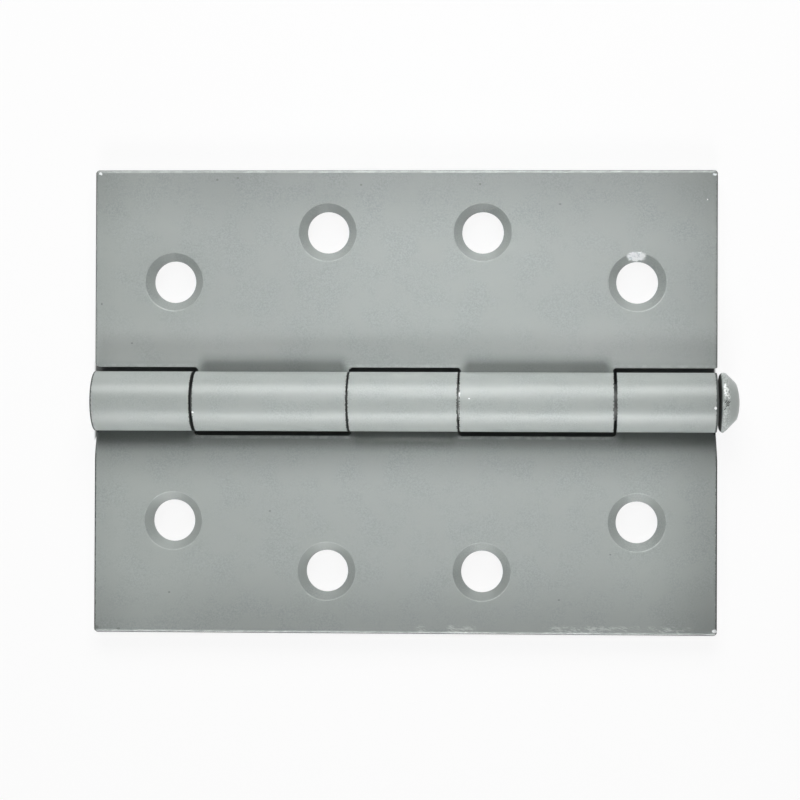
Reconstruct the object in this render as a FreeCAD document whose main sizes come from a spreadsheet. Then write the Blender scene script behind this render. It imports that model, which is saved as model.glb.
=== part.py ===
import FreeCAD, Part
import math
import os

import Sketcher

# Loose pin butt hinge, lying open and flat on its back.
#
# Three pieces: two stamped sheet steel leaves, whose knuckles are rolled from tongues
# of the same sheet, and a loose pin with an upset button head. X runs along the pin
# towards its head, Y across the leaves, Z out of the front that shows the countersinks.
# Each piece is drawn about the pin's axis at the middle of the leaves' length and then
# placed, so "out" below means away from the pin's axis, across a leaf.

# Driving sizes in millimetres and degrees.
SIZES = {
    # Leaves
    "leaf_length": 100.0,
    "open_width": 74.4,
    "sheet_thickness": 1.8,
    "leaf_corner": 0.6,
    "edge_softness": 0.5,
    # Set-back of the leaves from the barrel's back, and the crease where each tongue
    # starts to dip from the leaf's front towards the barrel's back
    "set_back": 1.6,
    "crease_distance": 6.75,
    "crease_radius": 1.0,
    "crease_taper": 1.5,
    # Joints between knuckles, from the middle, and the play between the knuckles
    "inner_joint": 8.8,
    "outer_joint": 33.6,
    "inner_gap": 0.25,
    "outer_gap": 0.5,
    # How far the end knuckles stop short of the leaf's ends
    "tip_end_inset": 0.4,
    "head_end_inset": 0.3,
    "inset_start": 9.4,
    # Notches that clear the other leaf's knuckles
    "notch_clearance": 0.75,
    "notch_corner": 0.5,
    "tip_end_lip_corner": 0.9,
    "head_end_lip_corner": 0.3,
    # Countersunk screw holes: a pair near the barrel and a pair further out
    "screw_hole": 6.7,
    "countersink": 9.4,
    "countersink_angle": 90.0,
    "rim_softness": 0.25,
    "near_hole_pitch": 74.4,
    "near_hole_distance": 19.2,
    "far_hole_pitch": 24.9,
    "far_hole_distance": 27.2,
    # Pin
    "pin_diameter": 5.75,
    "pin_clearance": 0.075,
    "tip_recess": 0.8,
    "tip_chamfer": 0.8,
    "head_gap": 0.4,
    "head_diameter": 9.6,
    "head_height": 3.25,
    "head_fillet": 0.3,
    "head_rim": 0.7,
    "head_bevel_angle": 45.0,
    "head_shoulder": 1.6,
    "head_crown": 9.0,
}

# Sizes that follow from the driving ones.
BORE_RADIUS = "(sizes.pin_diameter / 2 + sizes.pin_clearance)"
BARREL_RADIUS = f"({BORE_RADIUS} + sizes.sheet_thickness)"
LEAF_BACK = f"(sizes.set_back - {BARREL_RADIUS})"
LEAF_FRONT = f"({LEAF_BACK} + sizes.sheet_thickness)"
LEAF_END = "(sizes.leaf_length / 2)"
LEAF_START = f"(-{LEAF_END})"
LEAF_REACH = "(sizes.open_width / 2)"
LIP = f"({BARREL_RADIUS} + sizes.notch_clearance)"
LIP_CREASE = f"({LIP} - sizes.notch_corner)"
TONGUE_CREASE = "sizes.crease_distance"
STRIP_EDGE = f"({TONGUE_CREASE} + sizes.crease_radius)"
PAST_BARREL = f"(-{BARREL_RADIUS} - sizes.sheet_thickness)"
PAST_END = "sizes.sheet_thickness"
AXIS_HEIGHT = f"max(sizes.head_diameter / 2; {BARREL_RADIUS})"
HEAD_SEAT = f"({LEAF_END} - sizes.head_end_inset + sizes.head_gap)"
HEAD_TOP = f"({HEAD_SEAT} + sizes.head_height)"
PIN_TIP = f"({LEAF_START} + sizes.tip_end_inset + sizes.tip_recess)"
OVERHANG = f"({HEAD_TOP} - {LEAF_END})"

# The sketcher's numbers: its origin and flat axis share one and its upright axis has the
# next below, while the points of a line or an arc count up from 1.
ORIGIN = FLAT_AXIS = -1
UPRIGHT_AXIS = FLAT_AXIS - 1
START, END, CENTRE = range(1, 4)

document = FreeCAD.newDocument("loose_pin_butt_hinge")
sheet = document.addObject("Spreadsheet::Sheet", "sizes")
for row, (alias, value) in enumerate(SIZES.items(), start=1):
    sheet.set(f"A{row}", alias)
    sheet.set(f"B{row}", str(value))
    sheet.setAlias(f"B{row}", alias)
document.recompute()


def number(formula):
    """The present value of a formula in the sheet's sizes."""
    result = sheet.evalExpression(formula)
    return float(getattr(result, "Value", result))


def polar(radius, degrees):
    angle = math.radians(degrees)
    return FreeCAD.Vector(radius * math.cos(angle), radius * math.sin(angle), 0)


def bearing(vector):
    return math.degrees(math.atan2(vector.y, vector.x))


class Drawing:
    """A sketch on one of a body's own planes, each of whose sizes is a formula."""

    def __init__(self, body, name, plane, offset="0"):
        self.sketch = body.newObject("Sketcher::SketchObject", name)
        planes = {item.Role: item for item in body.Origin.OriginFeatures}
        self.sketch.AttachmentSupport = [(planes[plane], "")]
        self.sketch.MapMode = "FlatFace"
        self.sketch.setExpression("AttachmentOffset.Base.z", offset)

    def line(self, start, end, guide=False):
        ends = (FreeCAD.Vector(*start), FreeCAD.Vector(*end))
        return self.sketch.addGeometry(Part.LineSegment(*ends), guide)

    def circle(self, centre, radius):
        return self.sketch.addGeometry(
            Part.Circle(FreeCAD.Vector(*centre), FreeCAD.Vector(0, 0, 1), radius)
        )

    def arc(self, centre, radius, start_degrees, end_degrees):
        circle = Part.Circle(FreeCAD.Vector(*centre), FreeCAD.Vector(0, 0, 1), radius)
        span = (math.radians(start_degrees), math.radians(end_degrees))
        return self.sketch.addGeometry(Part.ArcOfCircle(circle, *span))

    def relate(self, kind, *items):
        return self.sketch.addConstraint(Sketcher.Constraint(kind, *items))

    def size(self, kind, *items, formula):
        value = number(formula)
        if kind == "Angle":
            value = math.radians(value)
        index = self.relate(kind, *items, value)
        self.sketch.setExpression(f"Constraints[{index}]", formula)

    def place(self, item, spot, across=None, up=None):
        """Sets a point's distances from the sketch's origin."""
        if across:
            self.size("DistanceX", ORIGIN, START, item, spot, formula=across)
        if up:
            self.size("DistanceY", ORIGIN, START, item, spot, formula=up)


def rounded_outline(drawing, corners):
    """Draws a closed outline through corners given as (across, up, radius or None).

    Each corner is a fixed point and each side runs through its two corners. A corner
    with a radius gets an arc tangent to both of its sides.
    """
    spots = [FreeCAD.Vector(number(across), number(up), 0) for across, up, radius in corners]
    radii = [number(radius) if radius else 0.0 for across, up, radius in corners]
    count = len(corners)
    headings = [(spots[(k + 1) % count] - spots[k]).normalize() for k in range(count)]
    cutbacks = [
        radii[k] * math.tan(headings[k - 1].getAngle(headings[k]) / 2) for k in range(count)
    ]
    sides = []
    for k in range(count):
        start = spots[k] + headings[k] * cutbacks[k]
        end = spots[(k + 1) % count] - headings[k] * cutbacks[(k + 1) % count]
        sides.append(drawing.line(start, end))
    for k, (across, up, radius) in enumerate(corners):
        arriving, leaving = sides[k - 1], sides[k]
        if not radius:
            drawing.relate("Coincident", arriving, END, leaving, START)
            drawing.place(leaving, START, across=across, up=up)
            continue
        corner = drawing.sketch.addGeometry(Part.Point(spots[k]), True)
        drawing.place(corner, START, across=across, up=up)
        drawing.relate("PointOnObject", corner, START, arriving)
        drawing.relate("PointOnObject", corner, START, leaving)
        left_turn = headings[k - 1].cross(headings[k]).z > 0
        sideways = FreeCAD.Vector(-headings[k - 1].y, headings[k - 1].x, 0)
        first = spots[k] - headings[k - 1] * cutbacks[k]
        last = spots[k] + headings[k] * cutbacks[k]
        centre = first + sideways * radii[k] * (1 if left_turn else -1)
        begin, finish = (first, last) if left_turn else (last, first)
        opening = (bearing(finish - centre) - bearing(begin - centre)) % 360
        bend = drawing.arc(centre, radii[k], bearing(begin - centre), bearing(begin - centre) + opening)
        drawing.relate("Tangent", arriving, END, bend, START if left_turn else END)
        drawing.relate("Tangent", leaving, START, bend, END if left_turn else START)
        drawing.size("Radius", bend, formula=radius)


def tongue_section(body, name, station, crease):
    """Section of the sheet from the leaf, round the crease and down to the barrel's back.

    The sheet leaves the barrel's back tangent to it, slopes up and bends back into the
    leaf's plane. The crease is the line where the leaf's front starts to dip.
    """
    bore, barrel = number(BORE_RADIUS), number(BARREL_RADIUS)
    back, front = number(LEAF_BACK), number(LEAF_FRONT)
    inner = number("sizes.crease_radius")
    outer = inner + front - back
    edge = number(STRIP_EDGE)
    bend = FreeCAD.Vector(number(crease), back - inner, 0)
    slope = math.degrees(
        math.atan2(bend.x, -bend.y) - math.acos((barrel + inner) / bend.Length)
    )
    down = polar(1, slope - 90)

    drawing = Drawing(body, name, "YZ_Plane", station)
    leaf_side = drawing.line((edge, back), (edge, front))
    front_flat = drawing.line((edge, front), (bend.x, front))
    front_bend = drawing.arc(bend, outer, 90, 90 + slope)
    front_slope = drawing.line(bend - down * outer, down * bore)
    bore_arc = drawing.arc((0, 0), bore, -90, slope - 90)
    root = drawing.line((0, -bore), (0, -barrel))
    barrel_arc = drawing.arc((0, 0), barrel, -90, slope - 90)
    back_slope = drawing.line(down * barrel, bend - down * inner)
    back_bend = drawing.arc(bend, inner, 90, 90 + slope)
    back_flat = drawing.line((bend.x, back), (edge, back))

    drawing.relate("Coincident", back_flat, END, leaf_side, START)
    drawing.relate("Coincident", leaf_side, END, front_flat, START)
    drawing.relate("Tangent", front_flat, END, front_bend, START)
    drawing.relate("Tangent", front_bend, END, front_slope, START)
    drawing.relate("Tangent", front_slope, END, bore_arc, END)
    drawing.relate("Coincident", bore_arc, START, root, START)
    drawing.relate("Coincident", root, END, barrel_arc, START)
    drawing.relate("Tangent", barrel_arc, END, back_slope, START)
    drawing.relate("Tangent", back_slope, END, back_bend, END)
    drawing.relate("Tangent", back_bend, START, back_flat, START)
    drawing.relate("Vertical", leaf_side)
    drawing.relate("Horizontal", front_flat)
    drawing.relate("Horizontal", back_flat)
    drawing.relate("PointOnObject", root, START, UPRIGHT_AXIS)
    drawing.relate("PointOnObject", root, END, UPRIGHT_AXIS)
    drawing.relate("Coincident", bore_arc, CENTRE, ORIGIN, START)
    drawing.relate("Coincident", barrel_arc, CENTRE, ORIGIN, START)
    drawing.relate("Coincident", front_bend, CENTRE, back_bend, CENTRE)
    drawing.size("Radius", bore_arc, formula=BORE_RADIUS)
    drawing.size("Radius", barrel_arc, formula=BARREL_RADIUS)
    drawing.size("Radius", back_bend, formula="sizes.crease_radius")
    drawing.place(back_bend, CENTRE, across=crease)
    drawing.place(leaf_side, START, across=STRIP_EDGE, up=LEAF_BACK)
    drawing.place(leaf_side, END, up=LEAF_FRONT)
    return drawing.sketch


def tongue_strip(body, knuckles):
    """The strip of sheet next to the barrel, with a crease at each knuckle's tongue.

    Beside a notch the crease runs out, over its taper, to the notch's flat lip.
    """
    stations = []
    for start, end in knuckles:
        if start == LEAF_START:
            stations.append((start, TONGUE_CREASE))
        else:
            stations.append((f"{start} - sizes.notch_corner", LIP_CREASE))
            stations.append((f"{start} + sizes.crease_taper", TONGUE_CREASE))
        if end == LEAF_END:
            stations.append((end, TONGUE_CREASE))
        else:
            stations.append((f"{end} - sizes.crease_taper", TONGUE_CREASE))
            stations.append((f"{end} + sizes.notch_corner", LIP_CREASE))
    if knuckles[0][0] != LEAF_START:
        stations.insert(0, (LEAF_START, LIP_CREASE))
        stations.append((LEAF_END, LIP_CREASE))
    sections = [
        tongue_section(body, f"tongue_section_{index}", station, crease)
        for index, (station, crease) in enumerate(stations, start=1)
    ]
    strip = body.newObject("PartDesign::AdditiveLoft", "tongue_strip")
    strip.Profile = sections[0]
    strip.Sections = sections[1:]
    strip.Ruled = True


def plate(body):
    """The flat of the leaf, outwards from the strip."""
    drawing = Drawing(body, "plate_outline", "XY_Plane", LEAF_BACK)
    corners = (
        (LEAF_START, STRIP_EDGE, None),
        (LEAF_END, STRIP_EDGE, None),
        (LEAF_END, LEAF_REACH, "sizes.leaf_corner"),
        (LEAF_START, LEAF_REACH, "sizes.leaf_corner"),
    )
    rounded_outline(drawing, corners)
    pad = body.newObject("PartDesign::Pad", "plate")
    pad.Profile = drawing.sketch
    pad.setExpression("Length", "sizes.sheet_thickness")


def rolled_barrel(body):
    """The curl: from under the axis round the far side to a free end level with the leaf.

    The free end stops just above the tongue's root, which leaves the seam that every
    rolled knuckle has.
    """
    bore, barrel = number(BORE_RADIUS), number(BARREL_RADIUS)
    free_end = math.degrees(math.asin(number(LEAF_FRONT) / barrel))

    drawing = Drawing(body, "curl_profile", "YZ_Plane", LEAF_START)
    inside = drawing.arc((0, 0), bore, free_end, 270)
    outside = drawing.arc((0, 0), barrel, free_end, 270)
    root = drawing.line((0, -bore), (0, -barrel))
    cut_end = drawing.line(polar(bore, free_end), polar(barrel, free_end))
    spoke = drawing.line((0, 0, 0), polar(bore, free_end), guide=True)
    drawing.relate("Coincident", inside, START, cut_end, START)
    drawing.relate("Coincident", outside, START, cut_end, END)
    drawing.relate("Coincident", inside, END, root, START)
    drawing.relate("Coincident", outside, END, root, END)
    drawing.relate("Coincident", inside, CENTRE, ORIGIN, START)
    drawing.relate("Coincident", outside, CENTRE, ORIGIN, START)
    drawing.relate("Coincident", spoke, START, ORIGIN, START)
    drawing.relate("Coincident", spoke, END, cut_end, START)
    drawing.relate("Parallel", spoke, cut_end)
    drawing.relate("PointOnObject", root, START, UPRIGHT_AXIS)
    drawing.relate("PointOnObject", root, END, UPRIGHT_AXIS)
    drawing.size("Radius", inside, formula=BORE_RADIUS)
    drawing.size("Radius", outside, formula=BARREL_RADIUS)
    drawing.place(cut_end, END, up=LEAF_FRONT)
    pad = body.newObject("PartDesign::Pad", "rolled_barrel")
    pad.Profile = drawing.sketch
    pad.setExpression("Length", "sizes.leaf_length")


def middle_notch(drawing, start, end):
    """A notch between two knuckles of the same leaf."""
    corners = (
        (start, PAST_BARREL, None),
        (end, PAST_BARREL, None),
        (end, LIP, "sizes.notch_corner"),
        (start, LIP, "sizes.notch_corner"),
    )
    rounded_outline(drawing, corners)


def end_notch(drawing, knuckle_end, leaf_end, beyond, lip_corner):
    """A notch from a knuckle to the leaf's end, with the lip's own corner rounded."""
    corner_start = f"{LIP} + {lip_corner} * 2"
    corners = (
        (knuckle_end, PAST_BARREL, None),
        (beyond, PAST_BARREL, None),
        (beyond, corner_start, None),
        (leaf_end, corner_start, None),
        (leaf_end, LIP, lip_corner),
        (knuckle_end, LIP, "sizes.notch_corner"),
    )
    rounded_outline(drawing, corners)


def end_trim(drawing, leaf_end, beyond, trimmed):
    """The sliver off a leaf's end that keeps its rolled knuckle within the leaf's length."""
    corners = (
        (trimmed, PAST_BARREL, None),
        (beyond, PAST_BARREL, None),
        (beyond, "sizes.inset_start", None),
        (leaf_end, "sizes.inset_start", None),
        (trimmed, BARREL_RADIUS, None),
    )
    rounded_outline(drawing, corners)


def cut_through(body, name, cuts):
    """Cuts outlines right through the sheet and the barrel."""
    drawing = Drawing(body, f"{name}_outlines", "XY_Plane")
    for cut, arguments in cuts:
        cut(drawing, *arguments)
    pocket = body.newObject("PartDesign::Pocket", name)
    pocket.Profile = drawing.sketch
    pocket.Type = "ThroughAll"
    pocket.SideType = "Symmetric"


def screw_holes(body):
    """Four countersunk holes: one pair near the barrel and a closer pair further out."""
    drawing = Drawing(body, "screw_places", "XY_Plane", LEAF_FRONT)
    pairs = (
        ("sizes.near_hole_pitch / 2", "sizes.near_hole_distance"),
        ("sizes.far_hole_pitch / 2", "sizes.far_hole_distance"),
    )
    for half_pitch, distance in pairs:
        for across in (f"-{half_pitch}", half_pitch):
            radius = "sizes.screw_hole / 2"
            ring = drawing.circle((number(across), number(distance)), number(radius))
            drawing.place(ring, CENTRE, across=across, up=distance)
            drawing.size("Radius", ring, formula=radius)
    holes = body.newObject("PartDesign::Hole", "screw_holes")
    holes.Profile = drawing.sketch
    document.recompute()
    holes.DepthType = "ThroughAll"
    holes.HoleCutType = "Countersink"
    holes.setExpression("Diameter", "sizes.screw_hole")
    holes.setExpression("HoleCutDiameter", "sizes.countersink")
    holes.setExpression("HoleCutCountersinkAngle", "sizes.countersink_angle")


def soften(body, name, wanted, radius):
    """Rounds the edges that a test picks out."""
    document.recompute()
    blank = body.Tip
    numbered = enumerate(blank.Shape.Edges, start=1)
    fillet = body.newObject("PartDesign::Fillet", name)
    fillet.Base = (blank, [f"Edge{index}" for index, edge in numbered if wanted(edge)])
    fillet.setExpression("Radius", radius)


def on_front(edge):
    same = number("sizes.sheet_thickness") / 1000
    heights = (edge.BoundBox.ZMin, edge.BoundBox.ZMax)
    return all(abs(height - number(LEAF_FRONT)) < same for height in heights)


def free_edge(edge):
    """Whether an edge lies on the front, along the leaf's outer side or one of its ends."""
    same = number("sizes.sheet_thickness") / 1000
    box = edge.BoundBox
    along_side = abs(box.YMin - number(LEAF_REACH)) < same
    along_end = abs(abs(box.Center.x) - number(LEAF_END)) < same
    return on_front(edge) and (along_side or along_end and box.YMax > number(STRIP_EDGE))


def countersink_rim(edge):
    same = number("sizes.sheet_thickness") / 1000
    radius = getattr(edge.Curve, "Radius", 0)
    return on_front(edge) and abs(radius - number("sizes.countersink / 2")) < same


def leaf(label, knuckles, cuts, turned=False):
    """One leaf: its tongues, plate and curl, then its notches, trims and screw holes.

    The punch draws the sheet in along its free edges, and the countersinks' rims are soft
    under the paint. Every leaf is drawn with its plate out along +Y. A turned leaf lies on
    the other side.
    """
    body = document.addObject("PartDesign::Body", label)
    body.Label = label
    tongue_strip(body, knuckles)
    plate(body)
    soften(body, "drawn_in_edges", free_edge, "sizes.edge_softness")
    rolled_barrel(body)
    cut_through(body, "notches", cuts)
    screw_holes(body)
    soften(body, "soft_rims", countersink_rim, "sizes.rim_softness")
    if turned:
        body.Placement.Rotation = FreeCAD.Rotation(FreeCAD.Vector(0, 0, 1), 180)
    return body


def loose_pin(label):
    """The pin: chamfered tip, plain shank and button head, turned about its axis."""
    body = document.addObject("PartDesign::Body", label)
    body.Label = label
    shank_radius = "(sizes.pin_diameter / 2)"
    rim_height = "(sizes.head_diameter / 2 - sizes.head_rim)"

    tip, seat, top = number(PIN_TIP), number(HEAD_SEAT), number(HEAD_TOP)
    shank, chamfer = number(shank_radius), number("sizes.tip_chamfer")
    fillet, rim = number("sizes.head_fillet"), number("sizes.head_rim")
    shoulder, crown = number("sizes.head_shoulder"), number("sizes.head_crown")
    bevel = number("sizes.head_bevel_angle")
    rim_centre = FreeCAD.Vector(seat + rim, number(rim_height), 0)
    crown_centre = FreeCAD.Vector(top - crown, 0, 0)
    # The shoulder's arc touches the bevel and rolls inside the crown's circle.
    outward = polar(1, 90 - bevel)
    depth = outward.dot(rim_centre - crown_centre) + rim - shoulder
    crown_end = 90 - bevel - math.degrees(math.acos(depth / (crown - shoulder)))
    shoulder_centre = crown_centre + polar(crown - shoulder, crown_end)

    drawing = Drawing(body, "pin_profile", "XY_Plane")
    tip_face = drawing.line((tip, 0), (tip, shank - chamfer))
    tip_bevel = drawing.line((tip, shank - chamfer), (tip + chamfer, shank))
    side = drawing.line((tip + chamfer, shank), (seat - fillet, shank))
    neck = drawing.arc((seat - fillet, shank + fillet), fillet, 270, 360)
    underside = drawing.line((seat, shank + fillet), (seat, rim_centre.y))
    rim_arc = drawing.arc(rim_centre, rim, 90 - bevel, 180)
    bevel_line = drawing.line(rim_centre + outward * rim, shoulder_centre + outward * shoulder)
    shoulder_arc = drawing.arc(shoulder_centre, shoulder, crown_end, 90 - bevel)
    crown_arc = drawing.arc(crown_centre, crown, 0, crown_end)
    axis_line = drawing.line((top, 0), (tip, 0))

    drawing.relate("Coincident", axis_line, END, tip_face, START)
    drawing.relate("Coincident", tip_face, END, tip_bevel, START)
    drawing.relate("Coincident", tip_bevel, END, side, START)
    drawing.relate("Tangent", side, END, neck, START)
    drawing.relate("Tangent", neck, END, underside, START)
    drawing.relate("Tangent", underside, END, rim_arc, END)
    drawing.relate("Tangent", rim_arc, START, bevel_line, START)
    drawing.relate("Tangent", bevel_line, END, shoulder_arc, END)
    drawing.relate("Tangent", shoulder_arc, START, crown_arc, END)
    drawing.relate("Coincident", crown_arc, START, axis_line, START)
    drawing.relate("Horizontal", side)
    drawing.relate("Vertical", tip_face)
    drawing.relate("Vertical", underside)
    drawing.relate("PointOnObject", axis_line, START, FLAT_AXIS)
    drawing.relate("PointOnObject", axis_line, END, FLAT_AXIS)
    drawing.relate("PointOnObject", crown_arc, CENTRE, FLAT_AXIS)
    drawing.place(tip_face, START, across=PIN_TIP)
    drawing.place(tip_face, END, up=f"{shank_radius} - sizes.tip_chamfer")
    drawing.place(side, START, across=f"{PIN_TIP} + sizes.tip_chamfer", up=shank_radius)
    drawing.place(underside, START, across=HEAD_SEAT)
    drawing.place(rim_arc, CENTRE, up=rim_height)
    drawing.place(axis_line, START, across=HEAD_TOP)
    drawing.size("Radius", neck, formula="sizes.head_fillet")
    drawing.size("Radius", rim_arc, formula="sizes.head_rim")
    drawing.size("Radius", shoulder_arc, formula="sizes.head_shoulder")
    drawing.size("Radius", crown_arc, formula="sizes.head_crown")
    drawing.size("Angle", bevel_line, formula="-sizes.head_bevel_angle")

    turned = body.newObject("PartDesign::Revolution", "turned_pin")
    turned.Profile = drawing.sketch
    turned.ReferenceAxis = (drawing.sketch, ["H_Axis"])
    turned.Angle = 360
    return body


# Knuckles along the pin. The three-knuckle leaf has the middle one and the two at the
# ends, and the two-knuckle leaf has the ones between them.
INNER_LOW = "(sizes.inner_joint - sizes.inner_gap / 2)"
INNER_HIGH = "(sizes.inner_joint + sizes.inner_gap / 2)"
OUTER_LOW = "(sizes.outer_joint - sizes.outer_gap / 2)"
OUTER_HIGH = "(sizes.outer_joint + sizes.outer_gap / 2)"

two_knuckle_leaf = leaf(
    "two_knuckle_leaf",
    knuckles=((f"-{OUTER_LOW}", f"-{INNER_HIGH}"), (INNER_HIGH, OUTER_LOW)),
    cuts=(
        (
            end_notch,
            (f"-{OUTER_LOW}", LEAF_START, f"{LEAF_START} - {PAST_END}", "sizes.tip_end_lip_corner"),
        ),
        (middle_notch, (f"-{INNER_HIGH}", INNER_HIGH)),
        (
            end_notch,
            (OUTER_LOW, LEAF_END, f"{LEAF_END} + {PAST_END}", "sizes.head_end_lip_corner"),
        ),
    ),
)

# This leaf is turned half round, so its own +X end is the one at the pin's tip.
three_knuckle_leaf = leaf(
    "three_knuckle_leaf",
    knuckles=(
        (LEAF_START, f"-{OUTER_HIGH}"),
        (f"-{INNER_LOW}", INNER_LOW),
        (OUTER_HIGH, LEAF_END),
    ),
    cuts=(
        (middle_notch, (f"-{OUTER_HIGH}", f"-{INNER_LOW}")),
        (middle_notch, (INNER_LOW, OUTER_HIGH)),
        (
            end_trim,
            (LEAF_START, f"{LEAF_START} - {PAST_END}", f"{LEAF_START} + sizes.head_end_inset"),
        ),
        (
            end_trim,
            (LEAF_END, f"{LEAF_END} + {PAST_END}", f"{LEAF_END} - sizes.tip_end_inset"),
        ),
    ),
    turned=True,
)

pin = loose_pin("loose_pin")

pieces = (three_knuckle_leaf, two_knuckle_leaf, pin)
for piece in pieces:
    piece.setExpression("Placement.Base.x", f"-{OVERHANG} / 2")
    piece.setExpression("Placement.Base.z", AXIS_HEIGHT)
document.recompute()

for item in document.Objects:
    if "Invalid" in item.State or "Error" in item.State:
        raise RuntimeError(f"{item.Label} did not build: {item.State}")
    if item.TypeId == "Sketcher::SketchObject" and not item.FullyConstrained:
        raise RuntimeError(f"{item.Label} is not fully constrained")

os.makedirs("parts", exist_ok=True)
for piece in pieces:
    if piece.Shape.isNull() or not piece.Shape.isValid() or len(piece.Shape.Solids) != 1:
        raise RuntimeError(f"{piece.Label} is not one sound solid")
    piece.Shape.exportStep(f"parts/{piece.Label}.step")
    box = piece.Shape.BoundBox
    print(
        f"{piece.Label}: {box.XLength:.2f} x {box.YLength:.2f} x {box.ZLength:.2f} mm, "
        f"{piece.Shape.Volume:.0f} mm3"
    )
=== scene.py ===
# %% [markdown]
# # Dressing a loose pin butt hinge
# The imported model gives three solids: two leaves, stamped and rolled from sheet steel, and
# the loose pin that joins them. Their shapes are exact, so this script works on what the
# eye reads next: the silver paint, the places where it is chipped, the hammered pin head
# and the soft light of the studio.

# %% Load the frame
import math

import bmesh
import bpy
from mathutils import Euler, Matrix, Vector, noise


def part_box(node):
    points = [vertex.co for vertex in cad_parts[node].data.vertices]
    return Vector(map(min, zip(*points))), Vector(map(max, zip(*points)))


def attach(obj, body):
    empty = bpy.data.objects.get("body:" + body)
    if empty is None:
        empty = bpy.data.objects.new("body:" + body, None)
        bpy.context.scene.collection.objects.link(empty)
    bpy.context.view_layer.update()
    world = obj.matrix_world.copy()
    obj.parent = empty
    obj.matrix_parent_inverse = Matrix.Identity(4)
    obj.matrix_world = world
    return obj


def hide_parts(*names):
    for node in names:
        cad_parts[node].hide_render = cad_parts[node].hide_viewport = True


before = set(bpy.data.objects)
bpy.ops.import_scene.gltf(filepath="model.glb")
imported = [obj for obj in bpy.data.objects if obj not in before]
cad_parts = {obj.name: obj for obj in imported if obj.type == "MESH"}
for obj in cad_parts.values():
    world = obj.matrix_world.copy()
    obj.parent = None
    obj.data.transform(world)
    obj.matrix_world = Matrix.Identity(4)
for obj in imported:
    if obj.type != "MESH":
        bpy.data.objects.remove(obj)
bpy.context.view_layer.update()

MM = 0.001
print("pieces:", ", ".join(sorted(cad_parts)))

# %% [markdown]
# ## Where things are
# The barrel's axis lies along X. The middle of the leaves' length is not at X = 0, because
# the box of the whole hinge also takes in the pin's head. Marks on the hinge are easier to
# place from the axis and that middle, so the middle is measured on a leaf and the axis on the
# pin.

# %% Measure the leaves
low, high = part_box("two_knuckle_leaf")
MIDDLE = (low.x + high.x) / 2
pin_low, pin_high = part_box("loose_pin")
AXIS_HEIGHT = (pin_low.z + pin_high.z) / 2
print(f"leaves {(high.x - low.x) / MM:.1f} mm long, axis {AXIS_HEIGHT / MM:.2f} mm up")


def spot(x, y, z=0.0):
    """A place in millimetres from the middle of the barrel's axis, in the frame's metres."""
    return Vector((MIDDLE + x * MM, y * MM, AXIS_HEIGHT + z * MM))


# %% [markdown]
# ## The pin
# The real pin is drawn wire, cut to length and pointed with a small chamfer, and its button
# head is hammered up cold in a die. It could be put together from cylinders and a cap, but
# then every corner between them would have to be blended. A turned outline gives them all at
# once: points and arcs are drawn as half of the pin's section and spun round the axis.

# %% Draw half of the pin's section
SEAT = 50.1  # where the underside of the head lies, along the axis in millimetres
BEVEL_STEP = 0.0692


def arc(x, radius, bend, start, end, steps):
    """Points of an arc with its centre at x along the axis and radius away from it."""
    turns = [math.radians(start + (end - start) * step / steps) for step in range(steps + 1)]
    return [(x + bend * math.cos(turn), radius + bend * math.sin(turn)) for turn in turns]


section = [(-48.8, 0.0)]  # the tip, and then the two soft corners of its chamfer
section += arc(-48.6, 1.992, 0.2, 180, 135, 3)
section += arc(-47.917, 2.675, 0.2, 135, 90, 3)
section += arc(49.8, 3.175, 0.3, 270, 360, 6)  # the fillet of the neck
section += arc(50.8, 4.1, 0.7, 180, 45, 18)  # the head's round rim
section += [(51.295 + BEVEL_STEP * step, 4.595 - BEVEL_STEP * step) for step in range(1, 18)]
section += arc(51.41, 2.218, 1.6, 45, 17.44, 8)  # from the bevel into the crown
section += arc(44.35, 0.0, 9.0, 16.8, 0.0, 26)  # the low crown
print(len(section), "points along the section")

# %% Spin it into a solid
shape = bmesh.new()
chain = [shape.verts.new(spot(x, 0, radius)) for x, radius in section]
for first, second in zip(chain, chain[1:]):
    shape.edges.new((first, second))
bmesh.ops.spin(
    shape, geom=shape.verts[:] + shape.edges[:], cent=spot(0, 0), axis=(1, 0, 0),
    angle=math.tau, steps=240, use_merge=True,
)
bmesh.ops.remove_doubles(shape, verts=shape.verts[:], dist=0.002 * MM)
bmesh.ops.recalc_face_normals(shape, faces=shape.faces[:])
print(len(shape.faces), "faces, closed:", all(edge.is_manifold for edge in shape.edges))

# %% [markdown]
# A hammered head is never quite a turned one. The blows left a flat on the lower side of
# the bevel and shallow scars round the rim, so the head's points are pressed inwards by
# those amounts, and never outwards: the pin keeps its greatest size.

# %% Hammer the head
FLAT = Vector((1, -1, 0)).normalized()
FLAT_REACH = 3.84
RIM_MIDDLE, RIM_WIDTH = 0.85, 0.8
SCAR_DEPTH, LUMP_DEPTH = 0.22, 0.05
deepest = 0.0
for point in shape.verts:
    place = (point.co - spot(SEAT, 0)) / MM
    if place.x < 0.05:
        continue
    excess = place.dot(FLAT) - FLAT_REACH
    if excess > 0:
        place -= FLAT * excess
    reach = math.hypot(place.y, place.z)
    round_rim = max(0.0, 1 - abs(place.x - RIM_MIDDLE) / RIM_WIDTH)
    scar = max(0.0, noise.noise(place * 1.1 + Vector((3.1, 0.7, 5.2))) - 0.1)
    lump = 0.5 + 0.5 * noise.noise(place * 0.45)
    press = SCAR_DEPTH * round_rim * scar + LUMP_DEPTH * lump * min(1.0, place.x)
    inward = Vector((0.35, place.y / max(reach, 0.1), place.z / max(reach, 0.1))).normalized()
    point.co = spot(SEAT, 0) + (place - inward * press * min(1.0, reach)) * MM
    deepest = max(deepest, press)
print(f"the deepest scar goes in by {deepest:.2f} mm")

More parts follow.
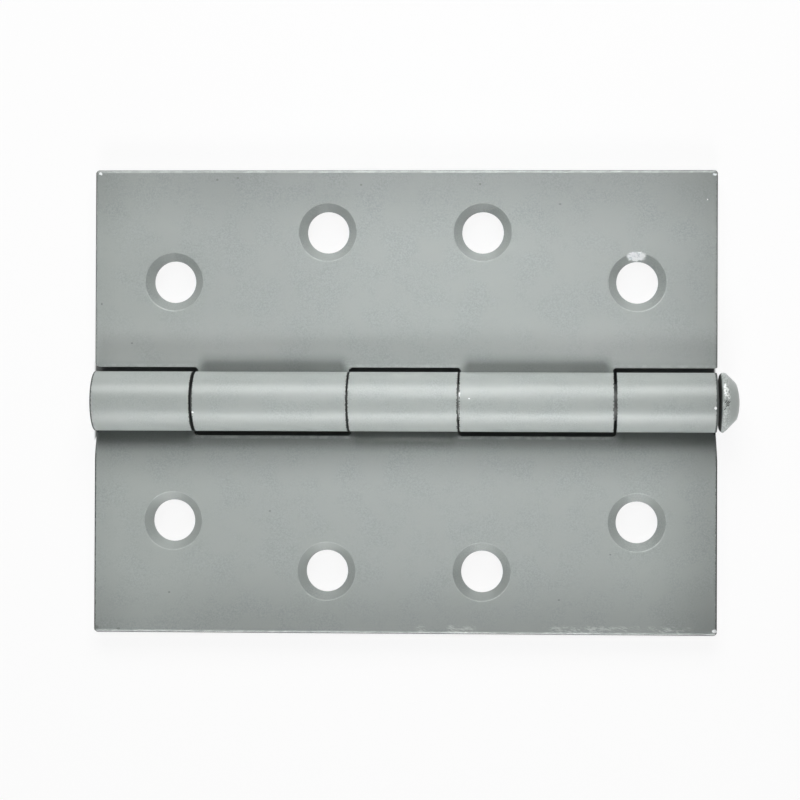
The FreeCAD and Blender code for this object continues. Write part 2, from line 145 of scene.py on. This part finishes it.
# %% Make the pin from its shape
pin_mesh = bpy.data.meshes.new("pin")
shape.to_mesh(pin_mesh)
shape.free()
pin_mesh.shade_smooth()
pin_mesh.set_sharp_from_angle(angle=math.radians(40))
pin = bpy.data.objects.new("pin", pin_mesh)
bpy.context.scene.collection.objects.link(pin)
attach(pin, "pin")
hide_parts("loose_pin")
print("pin of", len(pin_mesh.polygons), "faces")

# %% [markdown]
# ## Helpers for materials
# Shaders work in linear light, while colours are easiest to choose as the hex codes of a
# picture, so one function turns the codes to linear. Another adds any node, sets it and
# joins what feeds it. The others put a few nodes together for a purpose: a zone of the
# hinge, a grain of a real size, a colour laid over another, and a place in millimetres.
# The limits of a zone are millimetres from the middle of the barrel's axis where its value
# is a place, and from 0 to 1 where its value is a grain or a part of the surface's normal.

# %% Colours and nodes
def linear(code):
    """The linear colour of an sRGB hex code."""
    channels = [int(code[k:k + 2], 16) / 255 for k in (1, 3, 5)]
    return (*[c / 12.92 if c <= 0.04045 else ((c + 0.055) / 1.055) ** 2.4 for c in channels], 1)


def new_material(name):
    material = bpy.data.materials.new(name)
    material.use_nodes = True
    material.node_tree.nodes.clear()
    return material


def add(material, kind, *feeds, sockets=None, **settings):
    """Adds a node. Feeds go to its inputs in order, and sockets to inputs by their names.

    Each is a number, a colour, an output, or a node, which gives its first output.
    """
    node = material.node_tree.nodes.new("ShaderNode" + kind)
    for name, value in settings.items():
        setattr(node, name, value)
    joins = list(zip([socket for socket in node.inputs if socket.enabled], feeds))
    joins += [(node.inputs[name], value) for name, value in (sockets or {}).items()]
    for socket, value in joins:
        if isinstance(value, bpy.types.Node):
            value = next(output for output in value.outputs if output.enabled)
        if isinstance(value, bpy.types.NodeSocket):
            material.node_tree.links.new(value, socket)
        else:
            socket.default_value = value
    return node


print("white paper in linear light:", linear("#e6e6e6")[0])


# %% Zones, grains, covers and places
def zone(material, *limits):
    """1 where every value is past its second number, 0 before its first, and soft between."""
    inside = None
    for value, start, end in limits:
        step = add(material, "MapRange", value, start, end, interpolation_type="SMOOTHSTEP")
        inside = add(material, "Math", inside, step, operation="MULTIPLY") if inside else step
    return inside


def grain(material, place, size, detail=2.0, stretch=(1, 1, 1)):
    """Noise in lumps of a size in millimetres, longer along an axis with a small stretch."""
    scaled = add(material, "VectorMath", place, stretch, operation="MULTIPLY")
    sockets = {"Scale": 1 / size, "Detail": detail, "Roughness": 0.6}
    return add(material, "TexNoise", scaled, sockets=sockets)


def lay_over(material, tone, code, cover, strength=1.0):
    """The tone with a colour over it where the cover is 1, and as strong as it says."""
    amount = add(material, "Math", cover, strength, operation="MULTIPLY")
    return add(material, "Mix", amount, tone, linear(code), data_type="RGBA")


def in_millimetres(material):
    """A point's place in millimetres from the middle of the barrel's axis, and its parts."""
    in_metres = add(material, "TexCoord").outputs["Object"]
    place = add(
        material, "VectorMath", in_metres, (1 / MM,) * 3, -spot(0, 0) / MM,
        operation="MULTIPLY_ADD",
    )
    parts = add(material, "SeparateXYZ", place).outputs
    return place, parts["X"], parts["Y"], parts["Z"]


print("the middle of the axis is at", tuple(round(part / MM, 3) for part in spot(0, 0)), "mm")

# %% [markdown]
# ## Silver paint
# The leaves are mild steel under a sprayed and stoved silver paint: a grey binder with some
# aluminium flakes in it. A full metal would turn dark wherever it mirrors no lamp, but the
# binder scatters most of the light and the flakes lie nearly flat. So the paint is only a
# little of a metal, with the IOR of 1.5 that its binder has and the roughness of a satin
# paint, and its highlights are wide and soft. The spray leaves an uneven skin with low waves
# like those of an orange, about 1.7 mm apart. Real flakes are some 0.03 mm across, which is
# too fine to show in the picture, so they are drawn as lumps of 0.24 mm.

# %% Spray the silver paint
def paint_coat(material, place):
    """The colour and the height in millimetres of a plain coat of silver paint."""
    flakes = zone(material, (grain(material, place, 0.24, 3.0), 0.3, 0.7))
    clouds = zone(material, (grain(material, place, 4.5), 0.3, 0.7))
    tone = add(
        material, "Mix", flakes, linear("#9aa19e"), linear("#aab0ae"), data_type="RGBA"
    )
    tone = lay_over(material, tone, "#a6aca9", clouds)
    waves = grain(material, place, 1.7, 1.0)
    skin = add(material, "Math", grain(material, place, 0.35), 0.006, operation="MULTIPLY")
    height = add(material, "Math", waves, 0.012, skin, operation="MULTIPLY_ADD")
    return tone, height


def finish(material, tone, metallic, roughness, height):
    """Joins a finish to the surface, with its height as a bump of true size."""
    bump = add(material, "Bump", sockets={"Distance": MM, "Strength": 1.0, "Height": height})
    looks = {"Base Color": tone, "Metallic": metallic, "Roughness": roughness, "Normal": bump}
    shader = add(material, "BsdfPrincipled", sockets=looks)
    add(material, "OutputMaterial", shader)


leaf_paint = new_material("silver_paint")
place, x, y, z = in_millimetres(leaf_paint)
tone, height = paint_coat(leaf_paint, place)
print("a plain coat takes", len(leaf_paint.node_tree.nodes), "nodes")

# %% [markdown]
# ## Marks of handling
# Packing and handling have left marks in the paint: chips down to the bright zinc primer
# in one countersink, at three corners and in a few dots, some dark specks, and a rubbed
# lower edge. They could be painted on a picture laid over the leaves, but a short list is
# easier to read and to change: each chip or speck is an ellipse, given by its middle and
# its half sizes in millimetres.

# %% Place the chips and specks
CHIPS = [
    (37.0, 23.35, 1.65, 0.75), (-49.2, 36.6, 0.26, 0.24), (49.5, 36.5, 0.32, 0.24),
    (49.6, -36.4, 0.42, 0.3), (48.4, 32.5, 0.1, 0.1), (-33.3, -1.8, 0.3, 0.2),
    (9.05, 1.25, 0.14, 0.34), (10.6, 0.5, 0.11, 0.12), (49.2, -0.85, 0.2, 0.26),
]
SPECKS = [
    (-49.5, -36.4, 0.35, 0.3), (-46.0, -36.6, 0.3, 0.18), (-30.3, 35.6, 0.2, 0.16),
    (-27.0, 35.9, 0.2, 0.15), (-7.1, 34.8, 0.2, 0.16), (12.0, 34.9, 0.2, 0.18),
    (-44.0, 9.3, 0.2, 0.14), (-48.9, 15.6, 0.16, 0.2), (-21.6, -17.6, 0.18, 0.18),
    (-37.8, -30.7, 0.2, 0.16), (33.0, -24.3, 0.18, 0.14), (24.8, 31.7, 0.24, 0.14),
    (24.8, -31.6, 0.2, 0.14),
]


def patches(material, place, marks):
    """1 inside any of the marks, seen from the front, and 0 outside them all."""
    total = 0.0
    for x, y, across, along in marks:
        offset = add(material, "VectorMath", place, (x, y, 0), operation="SUBTRACT")
        scale = (1 / across, 1 / along, 0)
        scaled = add(material, "VectorMath", offset, scale, operation="MULTIPLY")
        away = add(material, "VectorMath", scaled, operation="LENGTH")
        inside = zone(material, (away, 1.1, 0.75))
        total = add(material, "Math", total, inside, operation="MAXIMUM")
    return total


print(len(CHIPS), "chips and", len(SPECKS), "specks")

# %% [markdown]
# The long edges, the countersinks' rims and the lips beside the barrel are lighter: a painted
# highlight where their rounded edges catch the lamps. The leaves keep their CAD meshes, which
# have no edge marks to follow, so each kind of edge is found by its place and by the way it
# faces. Knuckles 2 and 4 are rolled from the far leaf and the others from the near leaf, so the
# lips of each leaf lie beside the other leaf's knuckles.

# %% Find the way about the leaves
INNER_JOINT, OUTER_JOINT = 8.8, 33.6
KNUCKLE_MIDDLE = (INNER_JOINT + OUTER_JOINT) / 2
HALF_KNUCKLE = (OUTER_JOINT - INNER_JOINT) / 2
sheet_front = (z, -3.0, -2.7)
out = add(leaf_paint, "Math", y, operation="ABSOLUTE")
along = add(leaf_paint, "Math", x, operation="ABSOLUTE")
between = add(leaf_paint, "Math", along, KNUCKLE_MIDDLE, operation="SUBTRACT")
between = add(leaf_paint, "Math", between, operation="ABSOLUTE")
far_half, near_half = (y, -0.1, 0.1), (y, 0.1, -0.1)
normal = add(leaf_paint, "TexCoord").outputs["Normal"]
facing = add(leaf_paint, "SeparateXYZ", normal).outputs
print(f"knuckles 2 and 4 are {2 * HALF_KNUCKLE:.1f} mm long")

# %% Find the edges for a painted highlight
beside_knuckle = add(
    leaf_paint, "Math",
    zone(leaf_paint, far_half, (between, HALF_KNUCKLE - 0.4, HALF_KNUCKLE + 0.2)),
    zone(leaf_paint, near_half, (between, HALF_KNUCKLE + 0.4, HALF_KNUCKLE - 0.2)),
    operation="ADD",
)
# Painted highlights on the lips, the rims and the long edges, where rounded edges catch the
# lamps.
lips = zone(leaf_paint, (out, 5.1, 5.3), (out, 6.1, 5.8), (z, -1.95, -1.75))
lips = add(leaf_paint, "Math", lips, beside_knuckle, operation="MULTIPLY")
lips = add(leaf_paint, "Math", lips, 0.4, operation="MULTIPLY")
rims = zone(leaf_paint, (facing["Z"], 0.985, 0.93), (facing["Z"], 0.72, 0.78), (out, 9.0, 10.0))
rims = add(leaf_paint, "Math", rims, 0.5, operation="MULTIPLY")
long_edges = zone(leaf_paint, (out, 36.55, 36.9))
long_edges = add(leaf_paint, "Math", long_edges, 0.45, operation="MULTIPLY")
highlit = add(leaf_paint, "Math", lips, rims, operation="MAXIMUM")
highlit = add(leaf_paint, "Math", highlit, long_edges, operation="MAXIMUM")
patchy = zone(leaf_paint, (grain(leaf_paint, place, 1.1, 4.0), 0.38, 0.66))
patchy = add(leaf_paint, "Math", patchy, 0.7, 0.2, operation="MULTIPLY_ADD")
highlit = add(leaf_paint, "Math", highlit, patchy, operation="MULTIPLY")
print("worn edges found, with", len(leaf_paint.node_tree.nodes), "nodes so far")

# %% [markdown]
# The sheared ends and sides are darkened as painted shade, a dark outline, above all on the
# near leaf. The bores and the faces between the knuckles are darkened as painted shade where
# little light gets in, and the creases beside the barrel get a painted shadow of the barrel,
# most of it on the near leaf.

# %% Darken the ends and sides
sideways = add(leaf_paint, "Math", facing["X"], operation="ABSOLUTE")
# Painted shade on the knuckles' end faces in the gaps, and dark outlines along the sheared ends
# and sides.
barrel_ends = zone(leaf_paint, (sideways, 0.75, 0.95), (out, 5.2, 5.0))
ragged_edge = add(
    leaf_paint, "Math", grain(leaf_paint, place, 0.3, 3.0), 0.6, -0.3, operation="MULTIPLY_ADD"
)
barrel = zone(leaf_paint, (out, 5.2, 5.0))
from_end = add(leaf_paint, "Math", barrel, 0.35, along, operation="MULTIPLY_ADD")
from_end = add(leaf_paint, "Math", ragged_edge, 0.5, from_end, operation="MULTIPLY_ADD")
from_side = add(leaf_paint, "Math", ragged_edge, 0.25, out, operation="MULTIPLY_ADD")
far_sheet = zone(leaf_paint, far_half, (out, 5.2, 5.6))
dark = barrel_ends
for edge, start, end, spared in ((from_end, 49.66, 49.82, -0.5), (from_side, 37.0, 37.12, -0.8)):
    share = add(leaf_paint, "Math", far_sheet, spared, 1.0, operation="MULTIPLY_ADD")
    sheared = zone(leaf_paint, (edge, start, end))
    sheared = add(leaf_paint, "Math", sheared, share, operation="MULTIPLY")
    dark = add(leaf_paint, "Math", dark, sheared, operation="MAXIMUM")
print("ends and sides darkened")

# %% Darken the joints and bores
# Painted shade along the joints between the knuckles and in the bores.
for joint, half_gap in ((INNER_JOINT, 0.125), (OUTER_JOINT, 0.2)):
    away = add(leaf_paint, "Math", along, joint, operation="SUBTRACT")
    away = add(leaf_paint, "Math", away, operation="ABSOLUTE")
    away = add(leaf_paint, "Math", away, ragged_edge, operation="ADD")
    line = zone(leaf_paint, (away, half_gap + 0.13, half_gap + 0.05), (out, 5.3, 5.1))
    dark = add(leaf_paint, "Math", dark, line, operation="MAXIMUM")
from_axis = add(leaf_paint, "CombineXYZ", sockets={"Y": y, "Z": z})
radius = add(leaf_paint, "VectorMath", from_axis, operation="LENGTH")
bores = zone(leaf_paint, (radius, 3.5, 3.3))
dark = add(leaf_paint, "Math", dark, bores, operation="MAXIMUM")
print("joints and bores darkened")

# %% Paint the barrel's shadow in the creases
far_crease_shadow = zone(
    leaf_paint, far_half, (out, 8.2, 5.6), (between, HALF_KNUCKLE, HALF_KNUCKLE - 1.6)
)
near_share = zone(leaf_paint, (between, HALF_KNUCKLE - 0.1, HALF_KNUCKLE + 1.5))
near_share = add(leaf_paint, "Math", near_share, 0.15, 0.42, operation="MULTIPLY_ADD")
near_crease_shadow = zone(leaf_paint, (out, 8.6, 5.5))
near_crease_shadow = add(leaf_paint, "Math", near_crease_shadow, near_share, operation="MULTIPLY")
thin_crease_shadow = zone(leaf_paint, (out, 15.0, 8.0))
near_crease_shadow = add(leaf_paint, "Math", thin_crease_shadow, 0.1, near_crease_shadow, operation="MULTIPLY_ADD")
near_leaf = zone(leaf_paint, near_half)
near_crease_shadow = add(leaf_paint, "Math", near_crease_shadow, near_leaf, operation="MULTIPLY")
# Painted shadow: the barrel's shadow on the sheet beside it, darker close to the barrel.
crease_shadow = add(leaf_paint, "Math", far_crease_shadow, 0.42, near_crease_shadow, operation="MULTIPLY_ADD")
on_sheet = zone(leaf_paint, (z, -0.8, -1.1), sheet_front)
crease_shadow = add(leaf_paint, "Math", crease_shadow, on_sheet, operation="MULTIPLY")
print("dirt gathered beside the barrel")

# %% Scuff the lower edge
SCUFFS = ((1.6, 4.0, 0.6, 0.3), (6.6, 11.8, 1.0, 0.8), (23.0, 46.5, 0.7, 0.15))
slanted = add(
    leaf_paint, "VectorRotate", sockets={"Vector": place, "Angle": 0.22},
    rotation_type="Z_AXIS",
)
strokes = zone(leaf_paint, (grain(leaf_paint, slanted, 0.18, 2.0, (0.2, 1, 1)), 0.46, 0.6))
bunches = zone(leaf_paint, (grain(leaf_paint, place, 2.2, 2.0, (0.7, 1, 1)), 0.36, 0.5))
scuffed = 0.0
for start, end, strength, steady in SCUFFS:
    run = zone(leaf_paint, (x, start, start + 1), (x, end, end - 1))
    bunched = add(leaf_paint, "Math", bunches, steady, operation="MAXIMUM")
    run = add(leaf_paint, "Math", run, bunched, operation="MULTIPLY")
    scuffed = add(leaf_paint, "Math", run, strength, scuffed, operation="MULTIPLY_ADD")
scuffed = add(leaf_paint, "Math", scuffed, strokes, operation="MULTIPLY")
lower_edge = zone(leaf_paint, (y, -35.5, -36.2))
scuffed = add(leaf_paint, "Math", scuffed, lower_edge, operation="MULTIPLY")
print(len(SCUFFS), "scuffed runs along the lower edge")

# %% [markdown]
# The coat is darker towards the outer edges and the ends and on the steep walls of the
# countersinks, a painted shade where the lamps' light falls off, and a little lighter beside the
# barrel on the far leaf, a painted light where the barrel keeps off the low lamps. The marks
# then lie over the coat: the crease's painted shadow first, then edge highlights, shade and
# chips.

# %% Paint the lamps' falloff and the light beside the barrel
# Painted shade where the lamps' light falls off towards the edges, the ends and the
# countersinks' walls.
falloff_shade = zone(leaf_paint, (out, 24.0, 38.0))
falloff_shade = add(leaf_paint, "Math", falloff_shade, 0.24, operation="MULTIPLY")
for start, end, share in (
    (36.0, 50.0, 0.1), (44.0, 51.0, 0.05), (-28.0, -42.0, -0.06), (-41.0, -51.5, 0.14)
):
    towards_end = zone(leaf_paint, (x, start, end))
    falloff_shade = add(leaf_paint, "Math", towards_end, share, falloff_shade, operation="MULTIPLY_ADD")
near_end = zone(leaf_paint, near_half, (x, 38.0, 50.0), (out, 5.0, 6.0))
falloff_shade = add(leaf_paint, "Math", near_end, 0.1, falloff_shade, operation="MULTIPLY_ADD")
falloff_shade = add(leaf_paint, "Math", falloff_shade, 0.0, operation="MAXIMUM")
walls = zone(leaf_paint, (facing["Z"], 0.82, 0.74), (out, 9.0, 10.0))
falloff_shade = add(leaf_paint, "Math", walls, 0.1, falloff_shade, operation="MULTIPLY_ADD")
# Painted light beside the barrel on the far leaf, where the barrel shades it from the low lamps.
barrel_side_light = zone(leaf_paint, far_half, (out, 15.0, 9.5), (out, 5.2, 7.0))
barrel_side_share = zone(leaf_paint, (along, 8.0, 34.0))
barrel_side_share = add(leaf_paint, "Math", barrel_side_share, 0.12, 0.04, operation="MULTIPLY_ADD")
barrel_side_light = add(leaf_paint, "Math", barrel_side_light, barrel_side_share, operation="MULTIPLY")
print("coat varied, with", len(leaf_paint.node_tree.nodes), "nodes so far")

# %% Find the chips and specks
JITTER = 0.7
uneven = add(leaf_paint, "TexNoise", place, sockets={"Scale": 1 / 0.6, "Detail": 4.0})
ragged = add(
    leaf_paint, "VectorMath", uneven.outputs["Color"], (JITTER,) * 3, place,
    operation="MULTIPLY_ADD",
)
ragged = add(leaf_paint, "VectorMath", ragged, (JITTER / 2,) * 3, operation="SUBTRACT")
front = zone(leaf_paint, sheet_front)
chipped = patches(leaf_paint, ragged, CHIPS)
chipped = add(leaf_paint, "Math", chipped, front, operation="MULTIPLY")
specked = patches(leaf_paint, place, SPECKS)
specked = add(leaf_paint, "Math", specked, front, operation="MULTIPLY")
scuffed = add(leaf_paint, "Math", scuffed, 0.9, operation="MULTIPLY")
# bright holds the painted edge highlights and the real scuffs.
bright = add(leaf_paint, "Math", highlit, scuffed, operation="MAXIMUM")
flaked = zone(leaf_paint, (grain(leaf_paint, place, 0.5, 3.0), 0.32, 0.52))
zinc = add(leaf_paint, "Mix", flaked, linear("#d3d9dd"), linear("#fcfeff"), data_type="RGBA")
print("chips and specks found")

# %% Lay the marks over the coat
# Painted light and shade first, then the barrel's painted shadow, the painted edge highlights
# with the real scuffs, the painted dark outlines and shade, the specks and the chips.
tone = lay_over(leaf_paint, tone, "#dfe3e1", barrel_side_light)
tone = lay_over(leaf_paint, tone, "#1d1f1e", falloff_shade)
tone = lay_over(leaf_paint, tone, "#3a3e3c", crease_shadow)
tone = lay_over(leaf_paint, tone, "#e2e6e4", bright, 0.65)
tone = lay_over(leaf_paint, tone, "#303432", dark, 0.88)
tone = lay_over(leaf_paint, tone, "#5a5f5c", specked, 0.5)
tone = add(leaf_paint, "Mix", chipped, tone, zinc, data_type="RGBA")
height = add(leaf_paint, "Math", chipped, -0.03, height, operation="MULTIPLY_ADD")
metallic = add(leaf_paint, "Math", bright, 0.12, 0.04, operation="MULTIPLY_ADD")
bare_zinc = add(leaf_paint, "Math", chipped, flaked, operation="MULTIPLY")
metallic = add(leaf_paint, "Math", bare_zinc, 0.2, metallic, operation="MULTIPLY_ADD")
roughness = add(leaf_paint, "Math", dark, 0.3, 0.41, operation="MULTIPLY_ADD")
finish(leaf_paint, tone, metallic, roughness, height)
for name in ("three_knuckle_leaf", "two_knuckle_leaf"):
    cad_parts[name].data.materials.clear()
    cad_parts[name].data.materials.append(leaf_paint)
print("painted the leaves with", len(leaf_paint.node_tree.nodes), "nodes")

# %% [markdown]
# ## The pin's finish
# The hinge was sprayed with its pin in place, so only the head is painted. The hammer marks
# on its rim are rubbed through to bright steel in places. The shank is cold drawn steel wire:
# bright, with fine lines along it that the drawing die has left. Where it shows at the outer
# joints it is darkened, grease and painted shade together, and its neck and the head's
# underside are darkened as painted shade. The real lines are finer than the 0.12 mm that they
# have here, drawn wider so that they show. One material holds both, as paint and steel meet
# on one mesh at the head's seat, and a step along the axis parts them.

# %% Place the head's chips and cuts
HEAD_CHIPS = [(51.0, 1.7, 0.45, 0.8), (50.75, 2.7, 0.3, 0.5), (51.3, 0.9, 0.3, 0.4)]
CUT_TURN = -0.9
CUT_WIDTH = 0.085
HEAD_CUTS = [
    (*(Matrix.Rotation(CUT_TURN, 4, "Z") @ Vector((x, y, 0))).xy, reach, CUT_WIDTH)
    for x, y, reach in (
        (50.85, 0.15, 0.4), (51.1, 0.0, 0.55), (51.35, -0.02, 0.4), (51.0, -0.5, 0.3),
        (51.3, -0.42, 0.25), (50.7, -1.0, 0.25),
    )
]
print(len(HEAD_CHIPS), "chips and", len(HEAD_CUTS), "cuts on the head")

# %% Mark the head
pin_finish = new_material("painted_steel_pin")
place, x, y, z = in_millimetres(pin_finish)
tone, height = paint_coat(pin_finish, place)
head_front = zone(pin_finish, (z, 2.0, 3.0))
scarred = grain(pin_finish, place, 0.27, 5.0)
rubbed = zone(pin_finish, (scarred, 0.5, 0.62), (x, 50.1, 50.4), (x, 51.9, 51.3))
pitted = zone(pin_finish, (scarred, 0.44, 0.34), (x, 50.1, 50.4), (x, 51.9, 51.3))
struck = add(
    pin_finish, "Math", patches(pin_finish, place, HEAD_CHIPS), head_front,
    operation="MULTIPLY",
)
flecked = zone(pin_finish, (scarred, 0.4, 0.52))
struck = add(pin_finish, "Math", struck, flecked, operation="MULTIPLY")
turned = add(
    pin_finish, "VectorRotate", sockets={"Vector": place, "Angle": CUT_TURN},
    rotation_type="Z_AXIS",
)
cuts = add(
    pin_finish, "Math", patches(pin_finish, turned, HEAD_CUTS), head_front,
    operation="MULTIPLY",
)
print("head marked, with", len(pin_finish.node_tree.nodes), "nodes so far")

# %% Find the painted shade by the head and the grease and shade at the joints
seat_normal = add(pin_finish, "TexCoord").outputs["Normal"]
seat_facing = add(pin_finish, "SeparateXYZ", seat_normal).outputs["X"]
# Painted shade on the head's underside and the neck, in the dark gap by the barrel's end.
underside = zone(pin_finish, (seat_facing, -0.5, -0.8), (x, 48.0, 49.0))
neck = zone(pin_finish, (x, 49.0, 49.6), (x, 50.25, 50.15))
shade_and_grease = add(pin_finish, "Math", underside, neck, operation="MAXIMUM")
along = add(pin_finish, "Math", x, operation="ABSOLUTE")
at_joint = add(pin_finish, "Math", along, OUTER_JOINT, operation="SUBTRACT")
at_joint = add(pin_finish, "Math", at_joint, operation="ABSOLUTE")
# Grease with painted shade where the shank shows at the outer joints.
ring = zone(pin_finish, (at_joint, 0.7, 0.3))
shade_and_grease = add(pin_finish, "Math", ring, 0.85, shade_and_grease, operation="MULTIPLY_ADD")
print("grime found at the neck and the outer joints")

# %% Finish the pin
lines = grain(pin_finish, place, 0.12, 2.0, (0.03, 1, 1))
steel = add(pin_finish, "Mix", lines, linear("#8f9190"), linear("#c2c4c2"), data_type="RGBA")
shank = zone(pin_finish, (x, 50.2, 50.05))
tone = lay_over(pin_finish, tone, "#e9eeec", rubbed, 0.45)
tone = lay_over(pin_finish, tone, "#5b605d", pitted, 0.5)
tone = lay_over(pin_finish, tone, "#f4f8f6", struck)
tone = lay_over(pin_finish, tone, "#252927", cuts, 0.9)
tone = add(pin_finish, "Mix", shank, tone, steel, data_type="RGBA")
tone = lay_over(pin_finish, tone, "#262a28", shade_and_grease, 0.92)
not_darkened = add(pin_finish, "Math", 1.0, shade_and_grease, operation="SUBTRACT")
bare = add(pin_finish, "Math", shank, not_darkened, operation="MULTIPLY")
metallic = add(pin_finish, "Math", bare, 0.96, 0.04, operation="MULTIPLY_ADD")
roughness = add(pin_finish, "Math", bare, -0.05, 0.4, operation="MULTIPLY_ADD")
height = add(pin_finish, "Math", cuts, -0.02, height, operation="MULTIPLY_ADD")
height = add(pin_finish, "Math", pitted, -0.02, height, operation="MULTIPLY_ADD")
finish(pin_finish, tone, metallic, roughness, height)
pin_mesh.materials.append(pin_finish)
print("painted the pin with", len(pin_finish.node_tree.nodes), "nodes")

# %% [markdown]
# ## Floor
# The hinge lies on a pale sheet. Stronger lamps would whiten the sheet but burn out the
# paint, so what the camera sees of it is lifted towards white by a light of its own, and
# the rest of its colour still takes the hinge's shadow. Below the barrel the sheet is not
# lifted and is coloured grey as a painted shade, so the gaps round the knuckles look into
# shade, and the grey thins out softly under the leaves.

# %% Cut the sheet
floor_shape = bmesh.new()
bmesh.ops.create_circle(floor_shape, cap_ends=True, radius=3.0, segments=64)
floor_mesh = bpy.data.meshes.new("floor")
floor_shape.to_mesh(floor_mesh)
floor_shape.free()
floor = bpy.data.objects.new("floor", floor_mesh)
bpy.context.scene.collection.objects.link(floor)
print("floor laid")

# %% Colour the sheet
LIFT = 0.9
floor_paper = new_material("pale_floor")
rays = add(floor_paper, "LightPath").outputs
seen = add(
    floor_paper, "Math", rays["Is Camera Ray"], rays["Is Glossy Ray"], operation="MAXIMUM"
)
seen = add(floor_paper, "Math", seen, rays["Is Transmission Ray"], operation="MAXIMUM")
_, x, y, _ = in_millimetres(floor_paper)
along = add(floor_paper, "Math", x, 0.4, operation="ADD")
along = add(floor_paper, "Math", along, operation="ABSOLUTE")
out = add(floor_paper, "Math", y, operation="ABSOLUTE")
open_floor = 1.0
for ends, sides in (((50.0, 50.5), (5.6, 6.6)), ((47.0, 49.0), (5.6, 11.0))):
    past_end = zone(floor_paper, (along, *ends))
    past_side = zone(floor_paper, (out, *sides))
    clear = add(floor_paper, "Math", past_end, past_side, operation="MAXIMUM")
    open_floor = add(floor_paper, "Math", open_floor, clear, operation="MINIMUM")
lift = add(floor_paper, "Math", seen, LIFT, operation="MULTIPLY")
lift = add(floor_paper, "Math", lift, open_floor, operation="MULTIPLY")
# The grey below the barrel is painted shade.
shade = add(
    floor_paper, "Mix", open_floor, linear("#6e706f"), linear("#e6e6e6"), data_type="RGBA"
)
paper = add(floor_paper, "BsdfDiffuse", shade)
glow = add(floor_paper, "Emission", sockets={"Strength": 1.0})
mixed = add(floor_paper, "MixShader", lift, paper, glow)
add(floor_paper, "OutputMaterial", mixed)
floor_mesh.materials.append(floor_paper)
print("floor coloured with", len(floor_paper.node_tree.nodes), "nodes")

# %% [markdown]
# ## Studio light
# A few soft lamps are easier to fit than a bright world, because each has a task of its own.
# A broad softbox beyond the upper leaf gives most of the light and the first soft stripe
# along the barrel. A weak lamp on the other side draws the second stripe, a low softbox
# there lights the faces turned that way, and a small lamp overhead lifts the middle. Their
# tilts, sizes and strengths were fitted to the tones of the photograph.

# %% Hang the lights
LAMP_DISTANCE = 0.5


def softbox(name, tilt, size, watts, spread=180, aim=(0, 0)):
    """A soft lamp aimed at a spot, tilted from upright towards +Y."""
    lamp = bpy.data.lights.new(name, "AREA")
    lamp.shape = "RECTANGLE"
    lamp.size, lamp.size_y = size
    lamp.energy = watts
    lamp.spread = math.radians(spread)
    holder = bpy.data.objects.new(name, lamp)
    bpy.context.scene.collection.objects.link(holder)
    turn = Matrix.Rotation(math.radians(-tilt), 4, "X")
    lift = Matrix.Translation((0, 0, LAMP_DISTANCE))
    holder.matrix_world = Matrix.Translation(spot(*aim)) @ turn @ lift


softbox("upper_softbox", 49, (0.4, 0.27), 2.7)
softbox("lower_softbox", -57, (0.28, 0.13), 0.072, spread=26)
softbox("low_softbox", -80, (0.4, 0.09), 0.95)
softbox("overhead_softbox", 20, (0.05, 0.05), 0.003, spread=13, aim=(6, 14))

world = bpy.data.worlds.new("studio")
world.use_nodes = True
world.node_tree.nodes["Background"].inputs["Color"].default_value = linear("#ffffff")
world.node_tree.nodes["Background"].inputs["Strength"].default_value = 0.03
bpy.context.scene.world = world
print(len(bpy.data.lights), "lamps hung")

# %% [markdown]
# ## Camera
# The photograph was taken from straight above with a long lens, a little to the head's side.
# Its place, turn and shift were worked out from the hinge's edges and holes in the picture.

# %% Place the camera
PICTURE = 800
FOCAL_PIXELS = 2229.0
AHEAD_X, AHEAD_Y = 470.8, 395.7  # the pixel straight ahead of the lens
STAND = (23.352, -1.584, 355.23)
TURN = (0.423, 2.044, 0.176)
lens = bpy.data.cameras.new("camera")
lens.sensor_width = 36.0
lens.lens = FOCAL_PIXELS * lens.sensor_width / PICTURE
lens.shift_x = (PICTURE / 2 - AHEAD_X) / PICTURE
lens.shift_y = (AHEAD_Y - PICTURE / 2) / PICTURE
lens.clip_start = 0.01
camera = bpy.data.objects.new("camera", lens)
bpy.context.scene.collection.objects.link(camera)
turn = Euler([math.radians(angle) for angle in TURN], "YXZ")
camera.matrix_world = Matrix.Translation(spot(*STAND)) @ turn.to_matrix().to_4x4()
bpy.context.scene.camera = camera
bpy.context.scene.view_settings.view_transform = "Standard"
print(f"camera with a {lens.lens:.0f} mm lens, {STAND[2]:.0f} mm above the axis")
